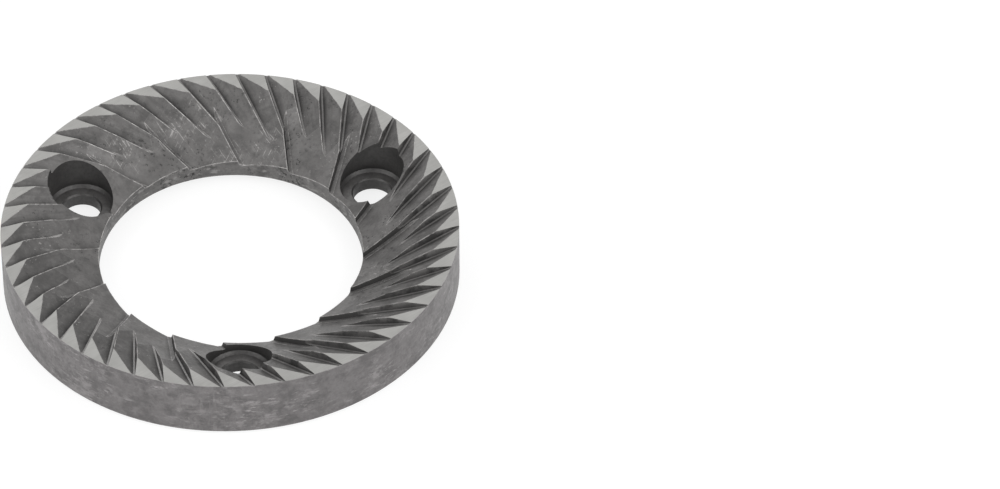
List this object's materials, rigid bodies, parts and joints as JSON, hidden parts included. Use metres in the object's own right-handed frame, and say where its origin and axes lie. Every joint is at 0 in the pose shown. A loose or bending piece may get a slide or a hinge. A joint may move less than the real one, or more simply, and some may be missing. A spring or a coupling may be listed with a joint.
{
  "type": "coffee grinder burr",
  "caption": "Flat ring burr of hardened steel that breaks and grinds coffee beans between slanted coarse and fine teeth, held from behind by screws in counterbored holes.",
  "frame": {"origin": "centre of the ring, in the plane of its ground back face", "axes": "+Z along the ring's axis, from the back face to the teeth; +X to the right and +Y away from the viewer, as pictured"},
  "size_m": [0.064, 0.064, 0.0088],
  "materials": {
    "steel": "hardened dark grey, with ground lands and a ground seating ring"
  },
  "bodies": {
    "root": {"burr": "steel"}
  },
  "joints": []
}
